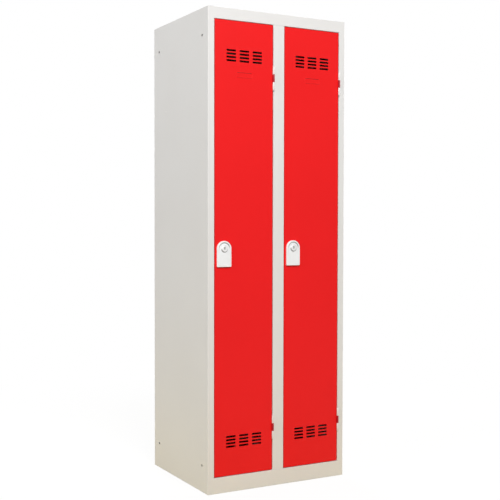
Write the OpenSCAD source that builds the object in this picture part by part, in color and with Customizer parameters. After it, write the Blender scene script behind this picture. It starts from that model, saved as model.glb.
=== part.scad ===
// Double steel locker: two tall compartments side by side under one roof.
// Each compartment has a hinged pan door with vents, a cam lock behind a finger-pull plate,
// a hat shelf, a hanging rail and a coat hook.
// X runs to the right, Y to the back and Z up. The origin is on the floor, in the middle of the carcass.

/* [Carcass] */
// Width of the carcass over its side panels
body_w = 600; // [560:10:800]
// Depth of the carcass from front face to back face, without hinges and locks
body_d = 500; // [440:10:600]
// Height of the carcass
body_h = 1800; // [1650:10:2000]
// Thickness of the carcass and door sheet
sheet = 0.8; // [0.7:0.1:1.2]
// Inside radius of the folds in the sheet
fold_r = 0.8; // [0.5:0.1:1.2]
// Width of the flanges that join panel to panel
flange_w = 20; // [14:1:24]
// Width of the flanges folded in along the floor
foot_flange_w = 15; // [10:1:18]

/* [Front frame] */
// Width of each outer stile, the side panel's folded front
stile_w = 26; // [22:1:34]
// Width of the stile between the doors
centre_stile_w = 48; // [44:1:64]
// Height of the rail over the doors
top_rail_h = 43; // [34:1:60]
// Height of the plinth under the doors
plinth_h = 60; // [45:1:100]
// Width of the lip behind the door edge that stops it
stop_lip_w = 10; // [9:1:13]
// Space between a shut door and its stop lip
stop_gap = 2; // [1.8:0.1:3]
// Width of the tab that joins the partition to the centre stile
partition_tab_w = 16; // [10:1:18]

/* [Assembly holes] */
// Diameter of the holes in the sides for bolting lockers together
bolt_hole_d = 10; // [5:0.5:12]
// Distance between the front and the rear holes
bolt_hole_span = 400; // [300:10:410]
// Distance of the holes from the floor and from the roof
bolt_hole_edge = 100; // [85:5:200]

/* [Doors] */
// Depth of a door pan
door_depth = 18; // [15:1:20]
// Gap between a door and the frame round it
door_gap = 2; // [1.5:0.1:2.4]
// Width of the return folded in along the door's rear edge
door_return_w = 12; // [8:1:14]
// Width of the stiffener's raised channel
stiffener_w = 50; // [30:1:60]
// Depth of the stiffener's channel
stiffener_depth = 14; // [8:1:14]
// Width of each of the stiffener's welding flanges
stiffener_flange_w = 12; // [6:1:14]
// Space that the stiffener leaves at the door's top and bottom
stiffener_end = 215; // [212:1:300]

/* [Vents] */
// Length of one vent slot
slot_w = 39.5; // [25:0.5:42]
// Height of one vent slot
slot_h = 7; // [3:0.5:8.5]
// Slots side by side
slot_columns = 3; // [1:1:3]
// Slots one above another
slot_rows = 4; // [2:1:5]
// Distance between slots side by side
column_pitch = 55; // [46:1:60]
// Distance between slots one above another
row_pitch = 12.5; // [10:0.5:14]
// Distance from a door's end to its outermost slots
vent_edge = 109; // [60:0.5:110]

/* [Label frame] */
// Width of the raised frame for a name card
label_w = 68; // [50:1:90]
// Height of the frame
label_h = 21; // [16:1:28]
// Width of the frame's rim
label_rim = 2.4; // [1.5:0.1:4]
// How far the rim is pressed out of the door
label_raise = 0.8; // [0.4:0.1:1.2]
// Distance from the door's top to the middle of the frame
label_drop = 197; // [185:1:220]

/* [Hinges] */
// Length of one hinge knuckle, three to a hinge
knuckle_l = 30; // [20:1:40]
// Radius of the knuckles
knuckle_r = 3.8; // [3.4:0.1:4.5]
// Radius of the hinge pin
pin_r = 2; // [1.5:0.1:2.5]
// Space between the knuckles and the front face
knuckle_stand_off = 0.4; // [0.3:0.1:1]
// Thickness of the leaf welded to the frame
leaf_t = 1.2; // [0.8:0.1:1.2]
// Depth to which the leaves reach behind the front face
leaf_depth = 14; // [8:1:14]
// Distance from the door's top to the middle of the upper hinge
upper_hinge_drop = 200; // [100:0.5:400]
// Distance from the door's bottom to the middle of the lower hinge
lower_hinge_rise = 165; // [100:0.5:400]

/* [Lock] */
// Width of the arched lock plate
plate_w = 58; // [54:1:64]
// Height of the plate
plate_h = 96.5; // [90:0.5:120]
// How far the plate stands off the door
plate_proud = 8; // [7:0.5:12]
// Distance from the door's free edge to the plate
plate_inset = 7.9; // [6:0.1:10]
// Height of the lock's axis above the door's bottom
lock_rise = 850; // [600:0.5:1100]
// Thickness of the plate's wall over the finger hollow
plate_wall = 2.2; // [1.5:0.1:2.8]
// Height of the finger hollow in the plate
finger_h = 34; // [25:1:36]
// Width of the rim round the plate's recessed panel
plate_rim = 6.5; // [5:0.5:8]
// Depth of the recessed panel under the arch
plate_recess = 3; // [1:0.1:3.2]
// Radius of the lock's round front
boss_r = 14; // [12:0.5:15]
// How far the round front stands off the plate
boss_proud = 3; // [1:0.5:3.5]
// Radius of the turning plug
plug_r = 8; // [7:0.1:8.4]
// Length of the cam from the lock's axis to its tip
cam_reach = 35; // [33:1:38]
// Width of the cam
cam_w = 14; // [10:1:16]
// Thickness of the cam
cam_t = 2; // [1.5:0.1:3]

/* [Inside] */
// Height of the space over the hat shelf
hat_space_h = 337; // [250:1:400]
// Depth of the hat shelf's flanges
shelf_flange_h = 25; // [20:1:30]
// Distance between the front and the rear rivets of a shelf
rivet_span = 240; // [180:1:300]
// Diameter of the hanging rail
rail_d = 18; // [14:1:22]
// Wall of the hanging rail
rail_wall = 1.2; // [1:0.1:2]
// Distance from the shelf down to the rail's axis
rail_drop = 46; // [42:1:60]
// Distance from the shelf down to the middle of the coat hook
hook_drop = 110; // [90:1:200]

/* [Hidden] */
$fn = 48;

frame_grey = [0.85, 0.84, 0.82];
door_red = [0.93, 0.15, 0.15];
plate_white = [0.95, 0.95, 0.95];
lock_metal = [0.78, 0.79, 0.8];
zinc = [0.66, 0.67, 0.68];
rubber_black = [0.12, 0.12, 0.12];

// Clearances: a turning fit, a loose bolt or rivet hole, and an air gap between moving pieces
turn_fit = 0.05;
loose_fit = 0.05;
air_gap = 0.4;
// Straight pieces that make up one rounded fold
fold_steps = 4;
// Length over which two stretches of one folded sheet run into each other
merge = 1;
// Cutters run this far past what they cut
past = 1;

// Planes of the carcass
front = -body_d / 2;
back = body_d / 2;
side = body_w / 2;
// Rear flanges lie against the back panel, which is the outermost sheet
rear_plane = back - sheet;
fold_room = sheet + fold_r;

// The tall sheets are drawn in flat strips and bent strips that part by a hairline beside each bend.
// A bent strip runs straight on for bend_run, so it ends bend_reach behind the face that it turns from.
bend_run = 0.4;
hairline = 0.02;
bend_reach = fold_room + bend_run;

// The two door openings, each a bay; the second is the first moved by one pitch
opening_w = (body_w - 2 * stile_w - centre_stile_w) / 2;
opening_low = plinth_h;
opening_high = body_h - top_rail_h;
bay_pitch = opening_w + centre_stile_w;
bay_left = -side + stile_w;
bay_right = bay_left + opening_w;
stop_y = front + door_depth + stop_gap;
lip_y = stop_y + sheet / 2;
lip_bend_y = stop_y + sheet - bend_reach;
floor_z = plinth_h + stop_lip_w;

// Doors, given for the left bay
door_low = [bay_left + door_gap, front, opening_low + door_gap];
door_high = [bay_right - door_gap, front + door_depth, opening_high - door_gap];
door_mid_x = (door_low[0] + door_high[0]) / 2;

// Hinges, on the right edge of each door; the axis stands in front of the gap
hinge_x = bay_right - door_gap / 2;
hinge_y = front - knuckle_stand_off - knuckle_r;
hinge_z_upper = door_high[2] - upper_hinge_drop;
hinge_z_lower = door_low[2] + lower_hinge_rise;
knuckle_gap = air_gap;
pin_head_r = pin_r + 1;
pin_head_h = 1;
door_leaf_space = 0.5;
frame_leaf_space = 0.3;
door_leaf_t = door_gap - door_leaf_space;
frame_leaf_t = min(leaf_t, door_gap - frame_leaf_space);

// Locks, given for the left bay, with depths counted from the door's face
lock_x = door_low[0] + plate_inset + plate_w / 2;
lock_z = door_low[2] + lock_rise;
plate_edge = 1.8;
recess_foot = 22;
boss_seat = 3;
boss_slope = 3;
boss_top_r = boss_r - boss_slope;
barrel_wall = 1.5;
barrel_r = plug_r + barrel_wall;
cam_space = 0.8;
housing_space = 0.6;
cam_front = stop_y + sheet - front + cam_space;
housing_rear = cam_front - housing_space;
plug_shoulder = 14;
plug_sunk = 0.3;
spigot_r = 5;
tenon_w = 6.4;
tenon_short = 0.2;
key_slot = [2.2, 9, 4];
key_slot_rise = 2;
nut_flats = 2 * barrel_r + 5;
nut_t = 4;
cam_hub_r = cam_w / 2 + 2;
cam_screw_r = 2.4;
cam_screw_bite = 8;
cam_screw_hole = 9;
cam_screw_head = [4.6, 5.4, 3];
driver_slot = [1, 1.2];
plate_screw_r = 2;
plate_screw_at = [20, -16];
plate_screw_bite = 4.5;
plate_screw_head = [2.6, 3.6, 2.4];

// Bumpers on the stop lip of each bay's free side
bumper_x = bay_left + stop_lip_w / 2;
bumper_inset = 120;
bumper_zs = [opening_low + bumper_inset, opening_high - bumper_inset];
bumper_t = stop_gap - air_gap;
bumper_r = 4;
bumper_stem_r = 1.5;
bumper_barb = [2.4, 1.6, 2.5];

// Fittings of the left compartment, between the side panel and the partition
room_left = -side + sheet;
room_right = -sheet / 2;
room_mid_x = (room_left + room_right) / 2;
shelf_z = body_h - sheet - hat_space_h;
shelf_set_back = 6;
shelf_front = stop_y + sheet + shelf_set_back;
shelf_back = back - 2 * sheet;
shelf_mid_y = (shelf_front + shelf_back) / 2;
rivet_z = shelf_z - shelf_flange_h / 2;
rivet_r = 2;
rivet_head_r = 3.6;
rivet_head_h = 1.2;
rivet_tail_r = 3;
rivet_tail_h = 2;
rail_z = shelf_z - rail_drop;
bracket_t = 1.5;
bracket_w = rail_d + 18;
bracket_tab = 20;
hook_z = shelf_z - hook_drop;
hook_plate = [24, 60, 2];
hook_rod_r = 3;
hook_ball_r = 4.5;
// Each prong: its height on the plate, its run to the front, its bend's radius and its rise
long_prong = [8, 24, 16, 8];
short_prong = [-18, 10, 10, 4];

// A box between two corners
module block(low, high) translate(low) cube(high - low);

// Outlines drawn in plan, in side view and in front view, drawn out along the third axis
module along_z(from, to) translate([0, 0, from]) linear_extrude(to - from) children();
module along_x(from, to) translate([from, 0, 0]) rotate([90, 0, 90]) linear_extrude(to - from) children();
module along_y(from, to) translate([0, to, 0]) rotate([90, 0, 0]) linear_extrude(to - from) children();

// One edge of a folded sheet. The path is the middle of the sheet, with right-angle folds at its
// inner points, and hand is 1 for the edge on the path's left and -1 for the edge on its right.
function left_of(v) = [-v[1], v[0]] / norm(v);
function turned(v, angle) = [v[0] * cos(angle) - v[1] * sin(angle), v[0] * sin(angle) + v[1] * cos(angle)];
function sheet_edge(path, hand) = [
  for (i = [0 : len(path) - 1])
    let (
      ending = i == 0 || i == len(path) - 1,
      arriving = i == 0 ? path[1] - path[0] : path[i] - path[i - 1],
      leaving = ending ? arriving : path[i + 1] - path[i],
      across = left_of(arriving),
      bend = ending ? 0 : sign(cross(arriving, leaving)),
      mid_r = fold_r + sheet / 2,
      hub = path[i] + (bend * across - arriving / norm(arriving)) * mid_r
    )
    for (step = [0 : ending ? 0 : fold_steps])
      ending
        ? path[i] + across * hand * sheet / 2
        : hub + turned(across, bend * 90 * step / fold_steps) * (hand * sheet / 2 - bend * mid_r)
];
function reversed(list) = [for (i = [len(list) - 1 : -1 : 0]) list[i]];
module folded(path) polygon(concat(sheet_edge(path, 1), reversed(sheet_edge(path, -1))));

// A rectangle with rounded corners, from its low and high corner
function round_rect(low, high, r) = [
  for (corner = [[high[0] - r, high[1] - r, 0], [low[0] + r, high[1] - r, 90],
                 [low[0] + r, low[1] + r, 180], [high[0] - r, low[1] + r, 270]])
    for (step = [0 : fold_steps])
      let (angle = corner[2] + 90 * step / fold_steps)
      [corner[0] + r * cos(angle), corner[1] + r * sin(angle)]
];

// A box whose edges are rounded where sheet is folded over them
module folded_block(low, high, r) {
  intersection() {
    along_z(low[2], high[2]) polygon(round_rect([low[0], low[1]], [high[0], high[1]], r));
    along_x(low[0], high[0]) polygon(round_rect([low[1], low[2]], [high[1], high[2]], r));
  }
}

// A flat sheet with a flange folded down on each side. The rear flange stops short of the corners
// by rear_inset, which leaves room for another panel's flange.
module tray(low, high, top, drop, rear_inset = 0) {
  mid = top - sheet / 2;
  inner = [[low[0] + fold_room, low[1] + fold_room], [high[0] - fold_room, high[1] - fold_room]];
  block([inner[0][0], inner[0][1], top - sheet], [inner[1][0], inner[1][1], top]);
  along_y(inner[0][1], inner[1][1]) {
    folded([[low[0] + sheet / 2, top - drop], [low[0] + sheet / 2, mid], [inner[0][0] + merge, mid]]);
    folded([[high[0] - sheet / 2, top - drop], [high[0] - sheet / 2, mid], [inner[1][0] - merge, mid]]);
  }
  along_x(inner[0][0], inner[1][0])
    folded([[low[1] + sheet / 2, top - drop], [low[1] + sheet / 2, mid], [inner[0][1] + merge, mid]]);
  along_x(inner[0][0] + rear_inset, inner[1][0] - rear_inset)
    folded([[high[1] - sheet / 2, top - drop], [high[1] - sheet / 2, mid], [inner[1][1] - merge, mid]]);
}

// Both bays, or one of them: 0 is the left bay and 1 the right
module bay(which) translate([which * bay_pitch, 0, 0]) children();
module mirrored_x() mirror([1, 0, 0]) children();

// Holes along X, for bolts and rivets in upright sheets
module hole_x(x, y, z, r) {
  reach = 5;
  translate([x - reach, y, z]) rotate([0, 90, 0]) cylinder(r = r, h = 2 * reach);
}

module rivet_holes(x) {
  for (end = [-1, 1]) hole_x(x, shelf_mid_y + end * rivet_span / 2, rivet_z, rivet_r + loose_fit);
}

module bumper_hole() {
  for (z = bumper_zs)
    translate([bumper_x, stop_y - past, z]) rotate([-90, 0, 0])
      cylinder(r = bumper_stem_r + loose_fit, h = sheet + 2 * past);
}

// The left side panel: one sheet with the front stile, door jamb and stop lip folded on its front
// edge, a joining flange on its rear edge and a flange along the floor
module side_panel() {
  skin_x = -side + sheet / 2;
  jamb_x = bay_left - sheet / 2;
  stile_end = bay_left - fold_room;
  skin_low = [-side, front + bend_reach + hairline, bend_reach + hairline];
  skin_high = [-side + sheet, rear_plane - bend_reach - hairline, body_h];
  color(frame_grey) difference() {
    union() {
      block(skin_low, skin_high);
      along_z(0, body_h) {
        folded([
          [-side + flange_w, rear_plane - sheet / 2], [skin_x, rear_plane - sheet / 2],
          [skin_x, rear_plane - bend_reach]
        ]);
        folded([
          [skin_x, front + bend_reach], [skin_x, front + sheet / 2], [stile_end, front + sheet / 2]
        ]);
      }
      along_z(opening_low, opening_high) {
        folded([
          [stile_end - merge, front + sheet / 2], [jamb_x, front + sheet / 2],
          [jamb_x, lip_bend_y - hairline]
        ]);
        folded([[jamb_x, lip_bend_y], [jamb_x, lip_y], [bay_left + stop_lip_w, lip_y]]);
      }
      block([stile_end - merge, front, 0], [bay_left, front + sheet, opening_low]);
      block([stile_end - merge, front, opening_high], [bay_left, front + sheet, body_h]);
      along_y(skin_low[1], skin_high[1])
        folded([[skin_x, bend_reach], [skin_x, sheet / 2], [-side + foot_flange_w, sheet / 2]]);
    }
    for (y = [-bolt_hole_span / 2, bolt_hole_span / 2])
      for (z = [bolt_hole_edge, body_h - bolt_hole_edge])
        hole_x(-side, y, z, bolt_hole_d / 2);
    rivet_holes(-side);
  }
}

module left_side_panel() difference() {
  side_panel();
  bumper_hole();
}

module right_side_panel() mirrored_x() side_panel();

// The back panel: a flat sheet welded over the rear flanges
module back_panel() color(frame_grey) block([-side, rear_plane, 0], [side, back, body_h]);

// The stop lips of both bays, folded on the rear edge of the rail or the plinth
module stop_lips(return_z, lip_end) for (which = [0, 1]) bay(which)
  along_x(bay_left + stop_lip_w + air_gap, bay_right - stop_lip_w - air_gap)
    folded([[lip_bend_y, return_z], [lip_y, return_z], [lip_y, lip_end]]);

// The roof: it folds down into the rail over the doors, then back and down into their stop lips
module top_panel() {
  mid = body_h - sheet / 2;
  roof_x = side - sheet - bend_reach - hairline;
  roof_front = front + sheet + bend_reach + hairline;
  roof_back = rear_plane - bend_reach - hairline;
  return_z = opening_high + sheet / 2;
  behind_rail = front + 1.5 * sheet;
  inside_skin = -side + 1.5 * sheet;
  color(frame_grey) {
    block([-roof_x, roof_front, body_h - sheet], [roof_x, roof_back, body_h]);
    along_x(-side + stile_w, side - stile_w) folded([
      [roof_front - hairline, mid], [front + sheet / 2, mid],
      [front + sheet / 2, return_z], [lip_bend_y - hairline, return_z]
    ]);
    stop_lips(return_z, opening_high - stop_lip_w);
    for (hand = [0, 1]) mirror([hand, 0, 0]) {
      along_x(-roof_x, -side + stile_w - merge)
        folded([[behind_rail, body_h - flange_w], [behind_rail, mid], [roof_front - hairline, mid]]);
      along_y(roof_front, roof_back)
        folded([[inside_skin, body_h - flange_w], [inside_skin, mid], [-roof_x - hairline, mid]]);
    }
    along_x(-side + flange_w + merge, side - flange_w - merge) folded([
      [rear_plane - sheet / 2, body_h - flange_w], [rear_plane - sheet / 2, mid],
      [roof_back + hairline, mid]
    ]);
  }
}

// The floor of both compartments: a tray level with the top of the lower stop lips
module floor_panel() color(frame_grey)
  tray([-side + sheet, stop_y + sheet], [side - sheet, rear_plane], floor_z, flange_w, flange_w);

// The plinth: a channel from the floor to the doors, with the lower stop lips folded up behind them
module plinth() {
  return_z = plinth_h - sheet / 2;
  color(frame_grey) {
    along_x(-side + stile_w, side - stile_w) folded([
      [front + foot_flange_w, sheet / 2], [front + sheet / 2, sheet / 2],
      [front + sheet / 2, return_z], [lip_bend_y - hairline, return_z]
    ]);
    stop_lips(return_z, floor_z);
  }
}

// The stile between the doors: a channel with a stop lip on each side
module centre_stile() {
  half = centre_stile_w / 2;
  jamb_x = half - sheet / 2;
  color(frame_grey) difference() {
    along_z(opening_low, opening_high) {
      folded([
        [-jamb_x, lip_bend_y - hairline], [-jamb_x, front + sheet / 2],
        [jamb_x, front + sheet / 2], [jamb_x, lip_bend_y - hairline]
      ]);
      for (hand = [-1, 1])
        folded([[hand * jamb_x, lip_bend_y], [hand * jamb_x, lip_y], [hand * (half + stop_lip_w), lip_y]]);
    }
    bay(1) bumper_hole();
  }
}

// The partition between the compartments, with a tab inside the centre stile and a rear flange
module centre_partition() {
  web_front = stop_y + sheet;
  web_back = rear_plane - bend_reach;
  color(frame_grey) difference() {
    union() {
      block([-sheet / 2, web_front + hairline, floor_z], [sheet / 2, web_back - hairline, body_h - sheet]);
      along_z(floor_z, opening_high) folded([
        [partition_tab_w, front + 1.5 * sheet], [0, front + 1.5 * sheet], [0, web_front]
      ]);
      along_z(floor_z, body_h - flange_w - merge)
        folded([[flange_w, rear_plane - sheet / 2], [0, rear_plane - sheet / 2], [0, web_back]]);
    }
    rivet_holes(0);
  }
}

// The left hat shelf: a tray riveted to the side panel and the partition
module hat_shelf() color(frame_grey) difference() {
  tray([room_left, shelf_front], [room_right, shelf_back], shelf_z, shelf_flange_h);
  rivet_holes(room_left);
  rivet_holes(room_right);
}

// A rivet along X through a stack of sheets that starts at x and is grip thick
module rivet(x, grip) {
  translate([x, 0, 0]) rotate([0, 90, 0]) {
    translate([0, 0, -rivet_head_h])
      cylinder(r1 = rivet_head_r - rivet_head_h, r2 = rivet_head_r, h = rivet_head_h);
    cylinder(r = rivet_r, h = grip);
    translate([0, 0, grip]) cylinder(r1 = rivet_tail_r, r2 = rivet_r, h = rivet_tail_h);
  }
}

module shelf_rivets() color(frame_grey)
  for (end = [-1, 1]) translate([0, shelf_mid_y + end * rivet_span / 2, rivet_z]) {
    rivet(-side, 2 * sheet);
    mirrored_x() rivet(-side, 2 * sheet);
    rivet(-1.5 * sheet, 3 * sheet);
  }

// The left compartment's two rail brackets, welded under the shelf just clear of its folds
module rail_brackets() color(zinc) {
  top = shelf_z - sheet;
  rail_bracket(room_left + fold_room, top);
  translate([room_left + room_right, 0, 0]) mirrored_x() rail_bracket(room_left + fold_room, top);
}

module rail_bracket(x, top) {
  difference() {
    union() {
      block([x, shelf_mid_y - bracket_w / 2, rail_z], [x + bracket_t, shelf_mid_y + bracket_w / 2, top]);
      translate([x, shelf_mid_y, rail_z]) rotate([0, 90, 0]) cylinder(d = bracket_w, h = bracket_t);
      block([x, shelf_mid_y - bracket_w / 2, top - bracket_t],
            [x + bracket_tab, shelf_mid_y + bracket_w / 2, top]);
    }
    hole_x(x, shelf_mid_y, rail_z, rail_d / 2 + loose_fit);
  }
}

module hanging_rail() color(lock_metal)
  translate([room_left + air_gap, shelf_mid_y, rail_z]) rotate([0, 90, 0]) difference() {
    length = room_right - room_left - 2 * air_gap;
    cylinder(d = rail_d, h = length);
    translate([0, 0, -past]) cylinder(d = rail_d - 2 * rail_wall, h = length + 2 * past);
  }

// The left coat hook: a plate welded to the back panel, with a long and a short prong
module coat_hook() color(zinc) translate([room_mid_x, rear_plane, hook_z]) {
  half = [hook_plate[0], hook_plate[1]] / 2;
  along_y(-hook_plate[2], 0) polygon(round_rect(-half, half, hook_plate[0] / 4));
  for (prong = [long_prong, short_prong])
    translate([0, -hook_plate[2], prong[0]]) hook_prong(prong[1], prong[2], prong[3]);
}

// A round prong that runs out to the front, turns up and ends in a ball
module hook_prong(run, bend_r, rise) {
  translate([0, merge, 0]) rotate([90, 0, 0]) cylinder(r = hook_rod_r, h = run + merge);
  translate([0, -run, bend_r]) rotate([0, 90, 0]) rotate([0, 0, -90]) rotate_extrude(angle = 90)
    translate([bend_r, 0]) circle(r = hook_rod_r);
  translate([0, -run - bend_r, bend_r]) cylinder(r = hook_rod_r, h = rise);
  translate([0, -run - bend_r, bend_r + rise]) sphere(r = hook_ball_r);
}

// Rubber buttons pressed through the stop lip, which the shut door rests against
module door_bumpers() color(rubber_black) for (z = bumper_zs)
  translate([bumper_x, stop_y, z]) rotate([-90, 0, 0]) {
    translate([0, 0, -bumper_t]) cylinder(r = bumper_r, h = bumper_t);
    cylinder(r = bumper_stem_r, h = sheet);
    translate([0, 0, sheet]) cylinder(r1 = bumper_barb[0], r2 = bumper_barb[1], h = bumper_barb[2]);
  }

// A hinge knuckle with its neck, which starts in the knuckle's rear wall and runs back into the gap
module knuckle(z_low, z_high, neck_x, neck_t) {
  bore_r = pin_r + turn_fit;
  neck_y = hinge_y + (bore_r + knuckle_r) / 2;
  translate([hinge_x, hinge_y, z_low]) difference() {
    cylinder(r = knuckle_r, h = z_high - z_low);
    translate([0, 0, -past]) cylinder(r = bore_r, h = z_high - z_low + 2 * past);
  }
  block([neck_x, neck_y, z_low], [neck_x + neck_t, front + leaf_depth, z_high]);
}

// The frame's two lugs, above and below the door's knuckle and welded to the jamb
module hinge_frame_lugs(z) color(frame_grey) for (end = [-1, 1]) {
  inner = z + end * knuckle_l / 2;
  outer = z + end * knuckle_l * 1.5;
  knuckle(min(inner, outer), max(inner, outer), bay_right - frame_leaf_t, frame_leaf_t);
}

// The door's knuckle, whose leaf is welded to the door's edge
module hinge_door_leaf(z) color(door_red)
  knuckle(z - knuckle_l / 2 + knuckle_gap, z + knuckle_l / 2 - knuckle_gap, door_high[0], door_leaf_t);

module hinge_pin(z) color(zinc) translate([hinge_x, hinge_y, z]) {
  half = knuckle_l * 1.5;
  translate([0, 0, -half]) cylinder(r = pin_r, h = 2 * half);
  translate([0, 0, half]) cylinder(r1 = pin_head_r, r2 = pin_r, h = pin_head_h);
}

// One block of vent slots, centred on the door, with its outermost row at z and the rest inwards
module vent_slots(z, inward) {
  for (column = [0 : slot_columns - 1]) for (row = [0 : slot_rows - 1]) {
    x = door_mid_x + (column - (slot_columns - 1) / 2) * column_pitch;
    slot_z = z + inward * row * row_pitch;
    block([x - slot_w / 2, front - past, slot_z - slot_h / 2],
          [x + slot_w / 2, front + sheet + past, slot_z + slot_h / 2]);
  }
}

// Things on the lock's axis: drawn with the door's face at 0 and the room in front of it upwards
module at_lock() translate([lock_x, front, lock_z]) rotate([90, 0, 0]) children();

// The left door pan: a sheet folded back on four sides, with a return along its rear edge
module door_pan() {
  wall = [sheet, sheet, sheet];
  color(door_red) difference() {
    union() {
      difference() {
        folded_block(door_low, door_high, fold_room);
        folded_block(door_low + wall, door_high - wall, fold_r);
      }
      translate([door_mid_x, front, door_high[2] - label_drop]) rotate([90, 0, 0])
        translate([0, 0, -sheet / 2]) linear_extrude(label_raise + sheet / 2) difference() {
          polygon(round_rect([-label_w, -label_h] / 2, [label_w, label_h] / 2, 2 * label_rim));
          polygon(round_rect([label_rim - label_w / 2, label_rim - label_h / 2],
                             [label_w / 2 - label_rim, label_h / 2 - label_rim], label_rim));
        }
    }
    block([door_low[0] + door_return_w, front + door_depth / 2, door_low[2] + door_return_w],
          [door_high[0] - door_return_w, door_high[1] + past, door_high[2] - door_return_w]);
    vent_slots(door_low[2] + vent_edge, 1);
    vent_slots(door_high[2] - vent_edge, -1);
    at_lock() {
      translate([0, 0, -sheet - past]) cylinder(r = barrel_r + loose_fit, h = sheet + 2 * past);
      plate_screw_places() translate([0, 0, -sheet - past])
        cylinder(r = plate_screw_r + loose_fit, h = sheet + 2 * past);
    }
  }
}

// The stiffener: a hat channel welded down the middle of the door's inside
module door_stiffener() {
  weld_y = front + 1.5 * sheet;
  crown_y = front + sheet + stiffener_depth - sheet / 2;
  half = stiffener_w / 2;
  color(door_red) translate([door_mid_x, 0, 0])
    along_z(door_low[2] + stiffener_end, door_high[2] - stiffener_end) folded([
      [-half - stiffener_flange_w, weld_y], [-half, weld_y], [-half, crown_y],
      [half, crown_y], [half, weld_y], [half + stiffener_flange_w, weld_y]
    ]);
}

// An arch: a half round on top of straight sides, with its centre at the origin
module arch(w, h) {
  circle(d = w);
  translate([-w / 2, w / 2 - h]) square([w, h - w / 2]);
}

module plate_screw_places() for (hand = [-1, 1])
  translate([hand * plate_screw_at[0], plate_screw_at[1], 0]) children();

// The lock plate, which is also the door's handle: fingers go up into the hollow behind its foot
module lock_plate() {
  foot = plate_w / 2 - plate_h;
  panel_r = plate_w / 2 - plate_rim;
  slope = atan(plate_recess / (panel_r + recess_foot));
  color(plate_white) at_lock() difference() {
    hull() {
      linear_extrude(plate_proud - plate_edge) arch(plate_w, plate_h);
      linear_extrude(plate_proud) arch(plate_w - 2 * plate_edge, plate_h - 2 * plate_edge);
    }
    translate([0, -recess_foot, plate_proud]) rotate([-slope, 0, 0]) translate([0, recess_foot, 0])
      linear_extrude(plate_proud) arch(2 * panel_r, panel_r + recess_foot);
    block([-plate_w / 2 + plate_wall, foot - past, -past],
          [plate_w / 2 - plate_wall, foot + finger_h, plate_proud - plate_wall]);
    translate([0, 0, -past]) cylinder(r = barrel_r + loose_fit, h = plate_proud + 2 * past);
    translate([0, 0, plate_proud - boss_seat]) cylinder(r = boss_r + loose_fit, h = boss_seat + past);
    plate_screw_places() translate([0, 0, -past])
      cylinder(r = plate_screw_r + loose_fit, h = plate_screw_bite + loose_fit + past);
  }
}

module plate_screws() color(zinc) at_lock() plate_screw_places() {
  translate([0, 0, -sheet]) cylinder(r = plate_screw_r, h = sheet + plate_screw_bite);
  translate([0, 0, -sheet - plate_screw_head[2]])
    cylinder(r1 = plate_screw_head[0], r2 = plate_screw_head[1], h = plate_screw_head[2]);
}

// The lock housing: a coned round front let into the plate, and a barrel through the door
module lock_housing() color(lock_metal) at_lock() difference() {
  seat = plate_proud - boss_seat;
  top = plate_proud + boss_proud;
  union() {
    translate([0, 0, -housing_rear]) cylinder(r = barrel_r, h = housing_rear + seat + merge);
    translate([0, 0, seat]) cylinder(r = boss_r, h = boss_seat - merge);
    translate([0, 0, plate_proud - merge]) cylinder(r1 = boss_r, r2 = boss_top_r, h = boss_proud + merge);
  }
  translate([0, 0, -plug_shoulder - air_gap])
    cylinder(r = plug_r + turn_fit, h = plug_shoulder + air_gap + top + past);
  translate([0, 0, -housing_rear - past]) cylinder(r = spigot_r + turn_fit, h = housing_rear + past);
}

module lock_nut() color(zinc) at_lock() translate([0, 0, -sheet - nut_t]) difference() {
  cylinder(d = nut_flats / cos(30), h = nut_t, $fn = 6);
  translate([0, 0, -past]) cylinder(r = barrel_r + loose_fit, h = nut_t + 2 * past);
}

// The plug: it turns in the housing and carries the cam on a square tenon
module lock_plug() color(lock_metal) at_lock() difference() {
  face = plate_proud + boss_proud - plug_sunk;
  union() {
    translate([0, 0, -plug_shoulder]) cylinder(r = plug_r, h = plug_shoulder + face);
    translate([0, 0, -cam_front]) cylinder(r = spigot_r, h = cam_front);
    block([-tenon_w / 2, -tenon_w / 2, tenon_short - cam_front - cam_t],
          [tenon_w / 2, tenon_w / 2, merge - cam_front]);
  }
  block([-key_slot[0] / 2, key_slot_rise - key_slot[1] / 2, face - key_slot[2]],
        [key_slot[0] / 2, key_slot_rise + key_slot[1] / 2, face + past]);
  translate([0, 0, -cam_front - cam_t - past])
    cylinder(r = cam_screw_r + loose_fit, h = cam_t + cam_screw_hole + past);
}

// The cam: it hangs down when the lock is open, and turns behind the stop lip to lock the door
module lock_cam() color(zinc) at_lock() translate([0, 0, -cam_front - cam_t]) linear_extrude(cam_t)
  difference() {
    tip = cam_reach - cam_w / 2;
    union() {
      circle(r = cam_hub_r);
      translate([-cam_w / 2, -tip]) square([cam_w, tip]);
      translate([0, -tip]) circle(r = cam_w / 2);
    }
    square(tenon_w + 2 * loose_fit, center = true);
  }

module cam_screw() color(zinc) at_lock() translate([0, 0, -cam_front - cam_t]) {
  cylinder(r = cam_screw_r, h = cam_t + cam_screw_bite);
  translate([0, 0, -cam_screw_head[2]]) difference() {
    cylinder(r1 = cam_screw_head[0], r2 = cam_screw_head[1], h = cam_screw_head[2]);
    block([-driver_slot[0] / 2, -cam_screw_head[1] - past, -past],
          [driver_slot[0] / 2, cam_screw_head[1] + past, driver_slot[1]]);
  }
}

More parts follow.
